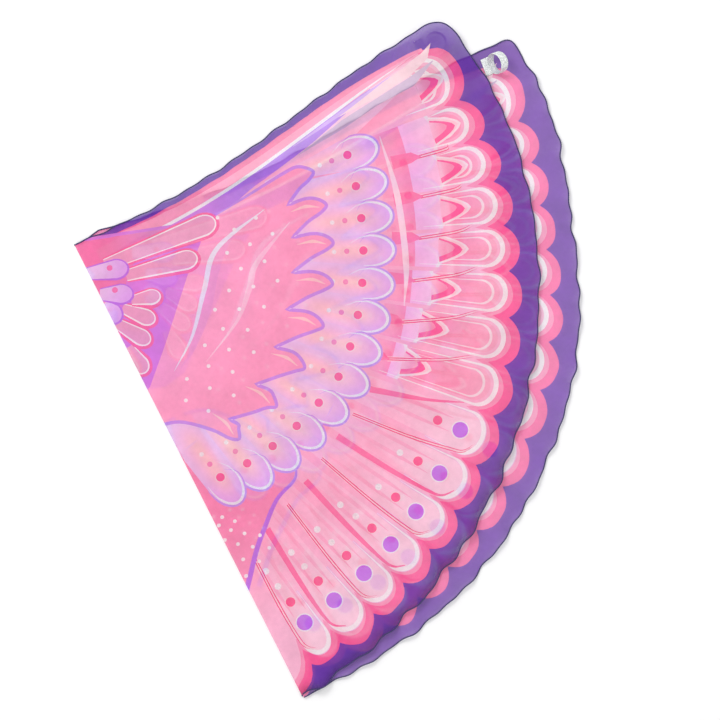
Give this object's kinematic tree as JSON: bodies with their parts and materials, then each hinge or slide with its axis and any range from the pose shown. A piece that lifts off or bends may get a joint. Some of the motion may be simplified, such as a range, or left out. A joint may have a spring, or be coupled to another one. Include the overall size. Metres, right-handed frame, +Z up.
{
  "type": "fairy wings",
  "caption": "Sheer printed fairy wings: a half-disc cape of chiffon with rolled hems, shoulder elastics and a finger loop at each wing tip, laid flat and folded in two.",
  "frame": {"origin": "middle of the folded wings' footprint, on the surface that they lie on", "axes": "+Y runs along the fold from the bottom point to the neck, +X from the fold to the wing tips, +Z up"},
  "size_m": [0.6142, 0.677, 0.0307],
  "materials": {
    "chiffon": "sheer printed chiffon with a faint sheen",
    "hem": "rolled chiffon",
    "edging_thread": "fine polyester thread",
    "loop_elastic": "silver glitter elastic",
    "tack_thread": "matte thread",
    "shoulder_elastic": "soft ribbed elastic"
  },
  "bodies": {
    "rear_wing": {"rear_wing_panel": "chiffon", "centre_fold": "chiffon", "rear_leading_hem": "hem", "rear_outer_hem": "hem", "rear_leading_thread": "edging_thread", "rear_outer_thread": "edging_thread", "rear_loop_tab": "loop_elastic", "rear_loop_tack": "tack_thread", "rear_shoulder_elastic": "shoulder_elastic", "rear_elastic_tacks": "tack_thread"},
    "front_wing": {"front_wing_panel": "chiffon", "front_leading_hem": "hem", "front_outer_hem": "hem", "front_leading_thread": "edging_thread", "front_outer_thread": "edging_thread", "front_loop_tab": "loop_elastic", "front_loop_tack": "tack_thread", "front_shoulder_elastic": "shoulder_elastic", "front_elastic_tacks": "tack_thread"},
    "rear_loop": {"rear_finger_loop": "loop_elastic"},
    "front_loop": {"front_finger_loop": "loop_elastic"}
  },
  "joints": [
    {"name": "wing_fold", "type": "hinge", "parent": "rear_wing", "child": "front_wing", "pos_m": [-0.30542, -0.0379, 0.0019], "axis": [0, -1, 0], "range_deg": [0, 178.3]},
    {"name": "rear_loop_lean", "type": "hinge", "parent": "rear_wing", "child": "rear_loop", "pos_m": [0.26354, 0.25717, 0.002], "axis": [-0.0532, -0.9986, 0], "range_deg": [-45, 35], "stiffness_Nm_per_rad": 0.005},
    {"name": "front_loop_lean", "type": "hinge", "parent": "front_wing", "child": "front_loop", "pos_m": [0.19687, 0.31426, 0.01671], "axis": [-0.0532, 0.9986, -0.0016], "range_deg": [0, 80], "stiffness_Nm_per_rad": 0.005}
  ]
}
